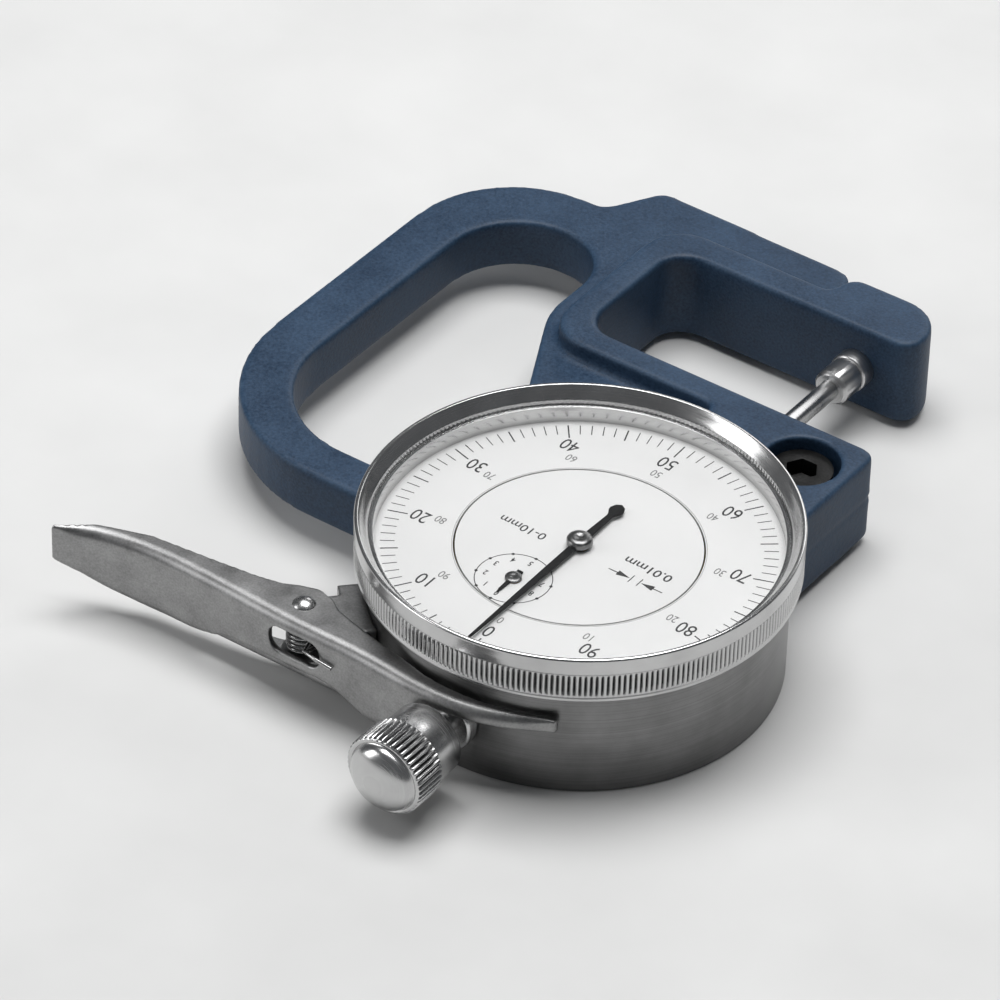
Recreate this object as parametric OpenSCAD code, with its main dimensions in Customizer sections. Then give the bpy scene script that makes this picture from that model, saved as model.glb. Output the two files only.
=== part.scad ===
// Dial thickness gauge: a plunger dial indicator clamped in a C-shaped frame
// with a finger loop and a thumb lever that lifts the spindle.
// The origin is on the dial axis at the back plane. +Z is the way the dial
// faces, +Y points along the spindle to the lifting cap, +X to the finger loop.

/* [Dial and bezel] */
// Outside diameter of the bezel
bezel_d = 58; // [57.8:0.1:58.6]
// Height of the bezel's top edge over the back plane
bezel_top = 22.5; // [22.3:0.1:23]
// Height of the bezel's bottom edge over the back plane
bezel_bottom = 15.6; // [15.5:0.1:15.7]
// Inside diameter of the bezel around the dial
window_d = 54.4; // [54.2:0.1:54.8]
// Diameter of the fixed plate in the middle of the dial
centre_plate_d = 32; // [31.4:0.1:32.2]
// Diameter of the glass boundary ring's opening
reflector_d = 53; // [52.6:0.1:53.4]

/* [Case] */
// Outside diameter of the case
case_d = 54.8; // [54.6:0.1:55.2]
// Thickness of the case wall
case_wall = 1.8; // [1.7:0.1:1.9]
// Height of the spindle axis over the back plane
axis_z = 7.5; // [7.4:0.05:7.6]

/* [Spindle] */
// Full travel of the spindle
travel = 10; // [8:0.5:10]
// Diameter of the spindle rod where it runs in its bushes
rod_d = 2.8; // [2.6:0.1:3]
// Diameter of the spindle's toothed middle stretch
rack_d = 4; // [3.9:0.1:4]
// Diameter of the contact point
contact_d = 5.2; // [4.8:0.1:5.4]
// Diameter of the anvil
anvil_d = 5.6; // [5.2:0.1:6]
// Diameter of the lifting cap's knurled head
cap_d = 11.4; // [11.2:0.1:11.8]

/* [Frame] */
// Depth of the throat from the spindle axis to its inner end
throat_depth = 30; // [28:0.5:31]
// Place of the throat's upper face below the dial axis
throat_top = 44.1; // [43.9:0.1:44.5]
// Place of the throat's lower face below the dial axis
throat_bottom = 66.3; // [66:0.1:66.6]
// Thickness of the frame's thick band
band_t = 13.4; // [13:0.1:13.6]
// Thickness of the frame's web and finger loop
web_t = 7.6; // [7.2:0.1:8.4]
// Distance from the dial axis to the outside of the finger loop
loop_x = 65.8; // [65:0.2:67]

/* [Lever] */
// Width of the lever channel
lever_w = 10.2; // [10:0.1:10.4]
// Thickness of the lever's sheet metal
lever_t = 1; // [0.8:0.1:1]
// Distance of the lever pivot from the dial axis along X
pivot_x = 24.8; // [24.6:0.1:25]
// Distance of the lever pivot from the dial axis along Y
pivot_y = 25.6; // [25.5:0.1:25.8]

/* [Hidden] */

$fn = 64;

// Case and cover
case_r = case_d / 2;
cavity_r = case_r - case_wall;
case_top = bezel_bottom - 0.2;
neck_r = case_r - 0.9;
neck_top = case_top + 1.6;
snap_z = bezel_bottom + 0.75;
snap_r = 0.3;
groove_h = 0.7;
cover_t = 1.4;
lug_angle = 26;
lug_ring_r = cavity_r - 2.2;
lug_r = 2.8;
stem_inner = cavity_r - 1.5;
loop_screw_y = -1.3;
bracket_screw_y = 3.2;

// Movement levels
plate_t = 0.8;
rear_z = axis_z + 2.4;
front_z = rear_z + 4.3;
cock_z = axis_z - 4.2;
gear_z = rear_z + 1.5;
gear_t = 0.8;
dial_t = 0.5;
dial_z = bezel_bottom + 1.7;
hand_z = dial_z + dial_t + 0.5;

// Gear train: sixteen rack pinion teeth take up one full travel
rack_pitch = 0.625;
module_size = rack_pitch / PI;
pinion_teeth = 16;
gear_teeth = 100;
centre_teeth = 10;
pinion_pitch_r = pinion_teeth * module_size / 2;
gear_pitch_r = gear_teeth * module_size / 2;
centre_pitch_r = centre_teeth * module_size / 2;
train_reach = gear_pitch_r + centre_pitch_r;
rack_x = -1.26;
pinion_x = rack_x - pinion_pitch_r;
train_angle = acos(-pinion_x / train_reach);
pinion_y = -train_reach * sin(train_angle);
addendum = 0.8 * module_size;
dedendum = 1.1 * module_size;

// Throat and contact
anvil_face = -throat_bottom + 2.3;
contact_gap = 0.02;
contact_len = 4.3;
contact_top = anvil_face + contact_gap + contact_len;
band_w = 4.2;
spine_x = throat_depth + 4.3;
clamp_at = [-10.3, -36.6];
band_low = axis_z - band_t / 2;
band_high = axis_z + band_t / 2;

// Lifting cap and upper bush
bush_d = 7.8;
cap_y = 32.2;
cap_knurl_y = cap_y + 5;
cap_top = cap_knurl_y + 5;
dome_h = 2.2;

// Lever
pivot_r = norm([pivot_x, pivot_y]);
pivot_angle = atan2(pivot_y, pivot_x);
pin_r = 1;
pin_fit = 0.03;
fork_gap = 6.2;
lever_low = axis_z - lever_w / 2;
lever_high = axis_z + lever_w / 2;
lever_line = [
    [-14.4, 25.3], [-8, 28.7], [-2, 30.4], [5, 30.7], [14, 30.1], [25, 30],
    [36, 29.4], [46, 29.2], [54, 30.3], [60.8, 32.9]
];
lever_waist = [
    [43, 2.3], [40, 3], [37, 3.9], [34.5, 4.8], [31, 5.2], [26, 5.5],
    [20, 5.7], [16.5, 5.1], [13, 3.7], [10.5, 2.3]
];
lever_tip = [[63, 9.2], [60.6, 7.2], [57.5, 5], [54, 3.4], [50, 2.6], [46.5, 2.3]];

// ---- functions ----
function unit(v) = v / norm(v);
function turned(v, a) = [v[0] * cos(a) - v[1] * sin(a), v[0] * sin(a) + v[1] * cos(a)];
function arc(r, a0, a1, n) = [for (k = [0:n]) r * [cos(a0 + (a1 - a0) * k / n), sin(a0 + (a1 - a0) * k / n)]];

// The arc that rounds corner q, between points p and s, to radius r
function corner_arc(p, q, s, r, n) =
    let (u = unit(p - q), v = unit(s - q), half = acos(u * v) / 2)
    let (centre = q + unit(u + v) * r / sin(half), start = q + u * r / tan(half) - centre)
    let (sweep = sign(cross(q - p, s - q)) * (180 - 2 * half))
    [for (k = [0:n]) centre + turned(start, sweep * k / n)];

function flat(p) = [p[0], p[1]];

// A closed outline from corners given as [x, y, radius]
function rounded(corners, n = 10) = [
    for (i = [0:len(corners) - 1])
        let (c = corners[i], before = corners[(i + len(corners) - 1) % len(corners)])
        let (after = corners[(i + 1) % len(corners)])
        each (c[2] == 0 ? [flat(c)] : corner_arc(flat(before), flat(c), flat(after), c[2], n))
];

// A smooth open line through the given points
function spline_point(a, b, c, d, t) =
    0.5 * (2 * b + (c - a) * t + (2 * a - 5 * b + 4 * c - d) * t * t + (3 * b - a - 3 * c + d) * t * t * t);
function spline(p, n) = [
    for (i = [0:len(p) - 2], k = [0:n - 1])
        spline_point(p[max(i - 1, 0)], p[i], p[i + 1], p[min(i + 2, len(p) - 1)], k / n),
    p[len(p) - 1]
];

// Gear outline with a tooth centred on the +X axis
function gear_outline(teeth, share) =
    let (r = teeth * module_size / 2, half = share * rack_pitch / 2)
    let (tip = (half - addendum * 0.36) / (r + addendum), root = (half + dedendum * 0.36) / (r - dedendum))
    [for (i = [0:teeth - 1], side = [-1, 1], out = [0, 1])
        let (high = side < 0 ? out : 1 - out)
        let (a = i * 360 / teeth + side * (high == 1 ? tip : root) * 180 / PI)
        (high == 1 ? r + addendum : r - dedendum) * [cos(a), sin(a)]];

// ---- shared shapes ----
module along_y(d, y0, y1, x = 0, z = axis_z) {
    translate([x, y0, z])
        rotate([-90, 0, 0])
            cylinder(d = d, h = y1 - y0);
}

module along_x(d, x0, x1, y, z) {
    translate([x0, y, z])
        rotate([0, 90, 0])
            cylinder(d = d, h = x1 - x0);
}

module turned_on_y(profile) {
    translate([0, 0, axis_z])
        rotate([-90, 0, 0])
            rotate_extrude($fn = 96)
                polygon(profile);
}

module slab(outline, z0, z1) {
    translate([0, 0, z0])
        linear_extrude(z1 - z0)
            polygon(outline);
}

module ring(r_out, r_in, z0, z1) {
    difference() {
        translate([0, 0, z0])
            cylinder(r = r_out, h = z1 - z0, $fn = 128);
        translate([0, 0, z0 - 1])
            cylinder(r = r_in, h = z1 - z0 + 2, $fn = 128);
    }
}

// A wire of the given radius through a list of points
module wire(path, r, sides = 6) {
    n = len(path);
    points = [
        for (i = [0:n - 1])
            let (t = unit(path[min(i + 1, n - 1)] - path[max(i - 1, 0)]))
            let (side = unit(cross(t, abs(t[2]) < 0.9 ? [0, 0, 1] : [1, 0, 0])), up = cross(side, t))
            for (k = [0:sides - 1])
                path[i] + r * (cos(k * 360 / sides) * side + sin(k * 360 / sides) * up)
    ];
    walls = [
        for (i = [0:n - 2], k = [0:sides - 1])
            let (a = i * sides + k, b = i * sides + (k + 1) % sides)
            each [[a, b, b + sides], [a, b + sides, a + sides]]
    ];
    first = [[for (k = [0:sides - 1]) sides - 1 - k]];
    last = [[for (k = [0:sides - 1]) (n - 1) * sides + k]];
    polyhedron(points, concat(walls, first, last));
}

module at_lugs() {
    for (k = [0:3])
        rotate([0, 0, lug_angle + 90 * k])
            translate([lug_ring_r, 0, 0])
                children();
}

module at_pillars() {
    for (a = [-50, -15, 130, 165])
        rotate([0, 0, a])
            translate([16, 0, 0])
                children();
}

module at_dial_feet() {
    for (a = [20, 200])
        rotate([0, 0, a])
            translate([12.5, 0, 0])
                children();
}

module pan_screw(shank_d, head_d, shank_l, head_l) {
    translate([0, 0, -shank_l])
        cylinder(d = shank_d, h = shank_l, $fn = 24);
    difference() {
        cylinder(d = head_d, h = head_l, $fn = 32);
        translate([-head_d, -head_d * 0.09, head_l * 0.5])
            cube([2 * head_d, head_d * 0.18, head_l]);
    }
}

// ---- frame ----
module throat_band() {
    slab(rounded([
        [-17.4, -throat_top, 2], [throat_depth, -throat_top, 4.5], [throat_depth, -throat_bottom, 4.5],
        [-8.6, -throat_bottom, 3], [-8.6, -throat_bottom - 9.5, 6.4], [7, -throat_bottom - 9.5, 2.5],
        [8, -throat_bottom - 4.9, 1.5], [spine_x, -throat_bottom - 4.9, 6],
        [spine_x, -throat_top + band_w, 6.5], [6, -throat_top + band_w, 1.2], [6, -22, 0], [-17.4, -16, 0]
    ]), band_low, band_high);
}

module web() {
    difference() {
        slab(rounded([
            [24, 2, 0], [loop_x, 2, 24], [loop_x, -71.8, 16.8], [46, -71.8, 3], [41.3, -80.2, 3],
            [9.5, -79.4, 2.5], [7.6, -74, 0], [7.6, -69, 0], [32, -69, 0], [32, -42, 0], [4, -42, 0],
            [4, -24, 0]
        ], 14), axis_z - web_t / 2, axis_z + web_t / 2);
        slab(rounded([
            [20.5, -4.7, 0], [loop_x - 8, -4.7, 16.5], [loop_x - 8, -63.6, 11], [38, -63.6, 8.5],
            [38, -47, 14], [25.1, -21.2, 0]
        ], 12), 0, axis_z * 2);
    }
}

module c_frame() {
    color("darkslateblue")
    difference() {
        union() {
            throat_band();
            web();
        }
        translate([0, 0, -1])
            cylinder(r = case_r, h = 30, $fn = 128);
        along_y(8, -throat_top - 1, -20);
        translate([-20, -throat_top - 1, axis_z - 0.4])
            cube([20, 30, 0.8]);
        translate([clamp_at[0], clamp_at[1], axis_z + 1.7])
            cylinder(d = 10.4, h = 10);
        translate([clamp_at[0], clamp_at[1], 1.8])
            cylinder(d = 5, h = 8);
        along_y(3, -throat_bottom - 6, -throat_bottom + 1);
        along_x(2.5, 26, 33, loop_screw_y, axis_z);
    }
}

module anvil() {
    color("silver")
    turned_on_y([
        [0, anvil_face], [anvil_d / 2 - 0.2, anvil_face], [anvil_d / 2, anvil_face - 0.2],
        [anvil_d / 2, -throat_bottom], [1.5, -throat_bottom], [1.5, -throat_bottom - 6],
        [0, -throat_bottom - 6]
    ]);
}

module clamp_screw() {
    seat = axis_z + 1.7;
    color("dimgray")
    translate([clamp_at[0], clamp_at[1], 0])
    difference() {
        union() {
            translate([0, 0, 1.8])
                cylinder(d = 5, h = seat - 1.8);
            translate([0, 0, seat])
                cylinder(d = 8.5, h = 3.6);
        }
        translate([0, 0, seat + 1.2])
            cylinder(d = 4.6, h = 5, $fn = 6);
    }
}

module loop_screw() {
    color("gray")
    translate([cavity_r - 0.3, loop_screw_y, axis_z])
        rotate([0, -90, 0])
            pan_screw(2.5, 3.6, 7.7, 1.2);
}

// ---- case ----
module case() {
    color("silver")
    difference() {
        union() {
            difference() {
                union() {
                    cylinder(r = case_r, h = case_top, $fn = 128);
                    cylinder(r = neck_r, h = neck_top, $fn = 128);
                }
                translate([0, 0, -1])
                    cylinder(r = cavity_r, h = 30, $fn = 128);
            }
            intersection() {
                cylinder(r = cavity_r + 0.2, h = 30, $fn = 128);
                at_lugs()
                    translate([0, 0, cover_t])
                        cylinder(r = lug_r, h = rear_z - cover_t);
            }
        }
        ring(neck_r + 1, neck_r - 0.4, snap_z - groove_h / 2, snap_z + groove_h / 2);
        along_y(8, -case_r - 2, -20);
        along_y(7, 20, case_r + 2);
        along_x(2.5, 20, case_r + 2, loop_screw_y, axis_z);
        at_lugs() {
            translate([0, 0, rear_z - 4])
                cylinder(d = 1.6, h = 5, $fn = 24);
            translate([0, 0, cover_t - 1])
                cylinder(d = 1.6, h = 4, $fn = 24);
        }
        rotate([0, 0, pivot_angle])
            for (y = [-bracket_screw_y, bracket_screw_y])
                along_x(2, 20, case_r + 2, y, axis_z);
    }
}

module stem() {
    top = -stem_inner;
    color("silver")
    difference() {
        union() {
            along_y(8, -throat_top + 0.2, top);
            along_y(9.4, top - 1, top);
        }
        along_y(rod_d + 0.06, -throat_top - 1, top + 1);
        along_y(rod_d + 1.4, -throat_top + 6, top - 5);
    }
}

module upper_bush() {
    color("silver")
    difference() {
        turned_on_y([
            [0, cavity_r - 1.2], [3.5, cavity_r - 1.2], [3.5, case_r + 0.05], [bush_d / 2, case_r + 0.05],
            [bush_d / 2, case_r + 1.5], [bush_d / 2 - 0.3, case_r + 1.8], [0, case_r + 1.8]
        ]);
        along_y(rod_d + 0.06, 20, 32);
    }
}

module countersink(d) {
    translate([0, 0, 0.2])
        cylinder(d1 = d * 2.1, d2 = d, h = d * 0.55, $fn = 32);
}

module back_cover() {
    color("gainsboro")
    difference() {
        cylinder(r = cavity_r - 0.1, h = cover_t, $fn = 128);
        at_lugs() {
            translate([0, 0, -1])
                cylinder(d = 1.8, h = 4, $fn = 24);
            countersink(1.8);
            translate([0, 0, -1])
                cylinder(d = 3.8, h = 1.25, $fn = 32);
        }
        ring(8.2, 8, -1, 0.15);
        ring(19, 18.8, -1, 0.15);
    }
}

module back_cover_screws() {
    color("dimgray")
    at_lugs()
        difference() {
            union() {
                countersink(1.8);
                translate([0, 0, 0.2])
                    cylinder(d = 1.6, h = 3.8, $fn = 24);
            }
            translate([-2.5, -0.25, -0.1])
                cube([5, 0.5, 0.7]);
        }
}

// ---- bezel and dial ----
module bezel() {
    outer = bezel_d / 2;
    bore = window_d / 2;
    skirt = neck_r + 0.06;
    color("lightgray")
    rotate_extrude($fn = 128)
        polygon([
            [skirt, bezel_bottom], [outer - 0.5, bezel_bottom], [outer - 0.1, bezel_bottom + 0.3],
            [outer - 0.1, bezel_bottom + 0.8], [outer - 0.25, bezel_bottom + 0.9],
            [outer - 0.25, bezel_bottom + 4.3], [outer, bezel_bottom + 4.5], [outer, bezel_top - 0.35],
            [outer - 0.12, bezel_top - 0.05], [outer - 0.4, bezel_top], [bore, bezel_top - 1.7], [bore, dial_z], [skirt, dial_z], [skirt, snap_z + groove_h / 2],
            [skirt + 0.4, snap_z + groove_h / 2], [skirt + 0.4, snap_z - groove_h / 2],
            [skirt, snap_z - groove_h / 2]
        ]);
}

module bezel_spring_ring() {
    color("gray")
    difference() {
        rotate_extrude($fn = 96)
            translate([neck_r + 0.02, snap_z])
                circle(r = snap_r, $fn = 24);
        translate([-1.5, -neck_r - 2, snap_z - 1])
            cube([3, 4, 2]);
    }
}

module crystal() {
    color("white", 0.3)
    translate([0, 0, bezel_top - 2.3])
        cylinder(d = window_d, h = 1.4, $fn = 128);
}

module reflector_ring() {
    color("silver")
    ring(window_d / 2, reflector_d / 2, dial_z + dial_t, bezel_top - 2.3);
}

module dial_scale_ring() {
    color("white")
    ring(window_d / 2, centre_plate_d / 2 + 0.25, dial_z, dial_z + dial_t);
}

module dial_centre_plate() {
    color("white")
    difference() {
        union() {
            translate([0, 0, dial_z])
                cylinder(d = centre_plate_d, h = dial_t, $fn = 128);
            at_dial_feet() {
                translate([0, 0, front_z + plate_t])
                    cylinder(d = 2.6, h = dial_z - front_z - plate_t);
                translate([0, 0, front_z - 1.1])
                    cylinder(d = 1.4, h = 2, $fn = 24);
            }
        }
        translate([0, 0, dial_z - 1])
            cylinder(d = 2.6, h = 3);
        translate([-pinion_x, -pinion_y, dial_z - 1])
            cylinder(d = 2.2, h = 3);
    }
}

module dial_foot_nuts() {
    color("goldenrod")
    at_dial_feet()
        translate([0, 0, front_z - 1])
            difference() {
                cylinder(d = 3, h = 1, $fn = 6);
                translate([0, 0, -1])
                    cylinder(d = 1.4, h = 3, $fn = 24);
            }
}

// ---- spindle ----
rack_teeth_low = pinion_y - 18.5 * rack_pitch;
rack_teeth_high = pinion_y + 2.5 * rack_pitch;

// The toothed edge of the rack, from its lower to its upper end
function rack_outline() =
    let (half = rack_pitch * 0.2, tip = half - addendum * 0.36, root = half + dedendum * 0.36)
    let (high = rack_x - addendum, deep = rack_x + dedendum)
    [[high, rack_teeth_low], for (k = [-18:2], step = [0:3])
        [step == 1 || step == 2 ? high : deep,
         pinion_y + k * rack_pitch + (step == 0 ? -root : step == 1 ? -tip : step == 2 ? tip : root)],
     [high, rack_teeth_high]];

module spindle() {
    rack_low = -22.6;
    rack_high = 9;
    color("silver")
    difference() {
        union() {
            along_y(rod_d, contact_top, cap_y + 5);
            along_y(rack_d, rack_low, rack_high);
        }
        slab(concat(rack_outline(), [[-5, rack_teeth_high], [-5, rack_teeth_low]]), 0, 2 * axis_z);
        translate([-5, rack_low - 1, axis_z - 3])
            cube([5 + rack_x - addendum, 16.5, 6]);
        along_y(1.6, contact_top - 1, contact_top + 3);
        along_x(1, 0.4, 3, -15, axis_z);
        along_x(1, 0.4, 3, 6, axis_z);
    }
}

module contact_point() {
    tip = anvil_face + contact_gap;
    r = contact_d / 2;
    color("silver")
    turned_on_y([
        [0, tip], [r - 0.25, tip], [r, tip + 0.25], [r, contact_top - 0.5], [r - 0.4, contact_top],
        [0.8, contact_top], [0.8, contact_top + 2.8], [0, contact_top + 2.8]
    ]);
}

module lifting_cap() {
    r = cap_d / 2;
    color("silver")
    difference() {
        turned_on_y(concat(
            [[0, cap_y], [r - 1.1, cap_y], [r - 0.75, cap_y + 0.4], [r - 0.55, cap_knurl_y - 0.2],
             [r, cap_knurl_y], [r, cap_top - 0.3], [r - 0.4, cap_top], [r - 0.9, cap_top]],
            [for (k = [1:8]) [(r - 0.9) * cos(k * 90 / 8), cap_top + dome_h * sin(k * 90 / 8)]]
        ));
        along_y(rod_d, cap_y - 1, cap_y + 5);
    }
}

module guide_pin() {
    color("silver")
    along_x(1, 0.4, 5, -15, axis_z);
}

module spring_pin() {
    color("silver")
    along_x(1, 0.4, 9.6, 6, axis_z);
}

// ---- movement ----
module guide_rail() {
    color("goldenrod")
    difference() {
        translate([3.1, -18, axis_z - 1.6])
            cube([2.6, 16, rear_z - axis_z + 1.6]);
        translate([3, -15.7, axis_z - 0.55])
            cube([3, 15.7 - 4.3, 1.1]);
    }
}

module rear_plate() {
    color("goldenrod")
    difference() {
        translate([0, 0, rear_z])
            cylinder(r = cavity_r - 0.1, h = plate_t, $fn = 128);
        at_lugs()
            translate([0, 0, rear_z - 1])
                cylinder(d = 1.6, h = 3, $fn = 24);
        translate([0, 0, rear_z - 1])
            cylinder(d = 2.4, h = 3);
        translate([-pinion_x, -pinion_y, rear_z - 1])
            cylinder(d = 2.4, h = 3);
        translate([pinion_x, pinion_y, rear_z - 1])
            cylinder(d = 4, h = 3);
        along_y(10.4, -case_r, 0.4 - stem_inner);
        along_y(8, stem_inner - 0.4, case_r);
    }
}

module rear_plate_screws() {
    color("gray")
    at_lugs()
        translate([0, 0, rear_z + plate_t])
            pan_screw(1.6, 3.2, plate_t + 2.8, 0.8);
}

module pillars() {
    color("goldenrod")
    at_pillars()
        translate([0, 0, rear_z + plate_t])
            difference() {
                cylinder(d = 3, h = front_z - rear_z - plate_t);
                translate([0, 0, 1.2])
                    cylinder(d = 1.4, h = 9, $fn = 24);
            }
}

module front_plate() {
    color("goldenrod")
    difference() {
        translate([0, 0, front_z])
            cylinder(r = 18, h = plate_t, $fn = 128);
        at_pillars()
            translate([0, 0, front_z - 1])
                cylinder(d = 1.4, h = 3, $fn = 24);
        at_dial_feet()
            translate([0, 0, front_z - 1])
                cylinder(d = 1.4, h = 3, $fn = 24);
        translate([0, 0, front_z - 1])
            cylinder(d = 2.4, h = 3);
        for (s = [-1, 1])
            translate([s * pinion_x, s * pinion_y, front_z - 1])
                cylinder(d = 2.4, h = 3);
    }
}

module front_plate_screws() {
    color("gray")
    at_pillars()
        translate([0, 0, front_z + plate_t])
            pan_screw(1.4, 2.8, plate_t + 1.6, 0.7);
}

module jewel(x, y, z, bore) {
    translate([x, y, 0])
        ring(1.2, bore / 2, z, z + plate_t);
}

module jewels() {
    color("crimson") {
        jewel(0, 0, rear_z, 0.84);
        jewel(-pinion_x, -pinion_y, rear_z, 0.84);
        jewel(0, 0, front_z, 1.04);
        jewel(-pinion_x, -pinion_y, front_z, 1.04);
        jewel(pinion_x, pinion_y, front_z, 0.84);
        jewel(pinion_x, pinion_y, cock_z, 0.84);
    }
}

module pinion_cock() {
    post = rear_z - cock_z;
    color("goldenrod")
    difference() {
        translate([-9, pinion_y - 4.5, cock_z])
            union() {
                cube([7.6, 9, plate_t]);
                cube([2.6, 9, post]);
            }
        translate([pinion_x, pinion_y, cock_z - 1])
            cylinder(d = 2.4, h = 3);
        for (y = [-3, 3])
            translate([-7.7, pinion_y + y, cock_z - 1])
                cylinder(d = 1.2, h = post + 2, $fn = 24);
    }
}

module cock_screws() {
    color("gray")
    for (y = [-3, 3])
        translate([-7.7, pinion_y + y, cock_z])
            rotate([180, 0, 0])
                pan_screw(1.2, 2.2, rear_z - cock_z - 0.2, 0.6);
}

// ---- gear train ----
module pinion(teeth, z0, z1, share) {
    translate([0, 0, z0])
        linear_extrude(z1 - z0)
            polygon(gear_outline(teeth, share));
}

module rack_pinion() {
    color("silver")
    translate([pinion_x, pinion_y, 0]) {
        rotate([0, 0, 180 / pinion_teeth])
            pinion(pinion_teeth, axis_z - 1.3, axis_z + 1.5, 0.4);
        translate([0, 0, cock_z])
            cylinder(d = 0.8, h = front_z + plate_t - cock_z, $fn = 32);
        translate([0, 0, axis_z + 1.5])
            cylinder(d = 2, h = gear_z - axis_z - 1.5, $fn = 32);
        translate([0, 0, gear_z])
            cylinder(d = 1.2, h = gear_t + 0.6, $fn = 32);
    }
}

module wheel() {
    difference() {
        translate([0, 0, gear_z])
            linear_extrude(gear_t)
                polygon(gear_outline(gear_teeth, 0.4));
        translate([0, 0, gear_z - 1])
            cylinder(d = 1.2, h = 3, $fn = 32);
        for (k = [0:4])
            rotate([0, 0, 72 * k])
                translate([5.4, 0, gear_z - 1])
                    cylinder(d = 4.4, h = 3, $fn = 32);
    }
}

module drive_gear() {
    color("goldenrod")
    translate([pinion_x, pinion_y, 0])
        rotate([0, 0, train_angle])
            wheel();
}

module centre_pinion() {
    color("silver") {
        rotate([0, 0, train_angle + 18])
            pinion(centre_teeth, gear_z - 0.3, gear_z + gear_t + 0.3, 0.36);
        translate([0, 0, rear_z + 0.05])
            cylinder(d = 0.8, h = 2, $fn = 32);
        translate([0, 0, gear_z + gear_t])
            cylinder(d = 1, h = hand_z + 0.3 - gear_z - gear_t, $fn = 32);
    }
}

module pointer() {
    color("black")
    difference() {
        union() {
            slab([[-0.75, 0], [-0.3, 24.4], [0, 25], [0.3, 24.4], [0.75, 0], [0.75, -7], [1.1, -8.6],
                  [0, -9.6], [-1.1, -8.6], [-0.75, -7]], hand_z, hand_z + 0.3);
            translate([0, 0, hand_z - 0.4])
                cylinder(d = 3.4, h = 1.5);
        }
        translate([0, 0, hand_z - 1])
            cylinder(d = 1, h = 1.3, $fn = 32);
    }
}

module take_up_gear() {
    color("goldenrod")
    translate([-pinion_x, -pinion_y, 0]) {
        rotate([0, 0, train_angle + 180])
            wheel();
        translate([0, 0, rear_z + 0.05])
            cylinder(d = 0.8, h = 2, $fn = 32);
        translate([0, 0, gear_z - 0.4])
            cylinder(d = 1.2, h = gear_t + 0.8, $fn = 32);
        translate([0, 0, gear_z + gear_t + 0.4])
            cylinder(d = 1, h = hand_z - 0.2 - gear_z - gear_t - 0.4, $fn = 32);
        translate([0, 0, gear_z + gear_t + 0.6])
            cylinder(d = 2, h = 0.8, $fn = 32);
    }
}

module counter_hand() {
    color("black")
    translate([-pinion_x, -pinion_y, hand_z - 0.4])
        difference() {
            union() {
                slab([[-0.35, 0], [-0.25, 3.4], [0, 3.8], [0.25, 3.4], [0.35, 0], [0.45, -1.6],
                      [-0.45, -1.6]], 0, 0.2);
                translate([0, 0, -0.1])
                    cylinder(d = 2.2, h = 0.45, $fn = 32);
            }
            translate([0, 0, -1])
                cylinder(d = 1, h = 1.2, $fn = 32);
        }
}

module hairspring() {
    turns = 5;
    steps = 24 * turns;
    inner = 1.2;
    outer = 5;
    half = 0.06;
    spiral = [for (s = [0:1], k = [0:steps])
        let (j = s == 0 ? k : steps - k, r = inner + (outer - inner) * j / steps + (s == 0 ? half : -half))
        r * [cos(j * 15), sin(j * 15)]];
    color("steelblue")
    translate([-pinion_x, -pinion_y, 0])
        rotate([0, 0, 30])
            slab(spiral, gear_z + gear_t + 0.7, gear_z + gear_t + 1.3);
}

module hairspring_stud() {
    color("goldenrod")
    translate([-pinion_x, -pinion_y, 0])
        rotate([0, 0, 30])
            translate([5.66, 0, gear_z + gear_t + 0.5])
                cylinder(d = 1.2, h = front_z - gear_z - gear_t - 0.5, $fn = 32);
}

module return_spring() {
    turns = 16;
    steps = 10;
    low = -15.6;
    high = 4.4;
    coil = [for (k = [0:turns * steps])
        [8.6 + 0.9 * cos(k * 36), low + (high - low) * k / turns / steps, axis_z + 0.9 * sin(k * 36)]];
    low_hook = [[8.6, low - 1.1, axis_z], [9.1, low - 0.6, axis_z]];
    high_hook = [[9.1, high + 0.5, axis_z], [8.6, high + 0.95, axis_z]];
    color("gray")
    wire(concat(low_hook, coil, high_hook), 0.14);
}

module spring_post() {
    color("silver")
    translate([8.6, -17.5, axis_z - 1.2])
        cylinder(d = 1.2, h = rear_z - axis_z + 1.2, $fn = 32);
}

// ---- lever ----
module lever_bracket() {
    thick = lever_w - 2 * lever_t - 1;
    cheek = 1.5;
    color("gray")
    difference() {
        rotate([0, 0, pivot_angle])
            difference() {
                translate([0, 0, axis_z - thick / 2])
                    union() {
                        translate([case_r - 1, -5, 0])
                            cube([4.2, 10, thick]);
                        translate([case_r, -3, 0])
                            cube([pivot_r - case_r, 6, thick]);
                        translate([pivot_r, 0, 0])
                            cylinder(r = 3, h = thick);
                    }
                translate([case_r + 3.2, -5, axis_z - thick / 2 + cheek])
                    cube([20, 10, thick - 2 * cheek]);
                translate([pivot_r, 0, 0])
                    cylinder(r = pin_r + pin_fit, h = 20);
                for (y = [-bracket_screw_y, bracket_screw_y])
                    along_x(2, case_r - 2, case_r + 2.6, y, axis_z);
            }
        translate([0, 0, -1])
            cylinder(r = case_r, h = 30, $fn = 128);
    }
}

module bracket_screws() {
    color("gray")
    rotate([0, 0, pivot_angle])
        for (y = [-bracket_screw_y, bracket_screw_y])
            translate([cavity_r - 0.6, y, axis_z])
                rotate([0, -90, 0])
                    pan_screw(2, 3.2, 4.6, 1);
}

// The side outline of the lever's two cheeks
function cheek_outline() =
    let (pivot = [pivot_x, pivot_y])
    concat(
        spline(lever_line, 6),
        [[60.4, 32.3], [56, 28.9], [49, 26.3], [40, 25.4], [33, 24.6]],
        [for (p = arc(3.8, -40, -150, 8)) pivot + p],
        [[16.6, 25], [12.4, 26]],
        arc(case_r + 0.7, 72, 115, 8)
    );

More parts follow.
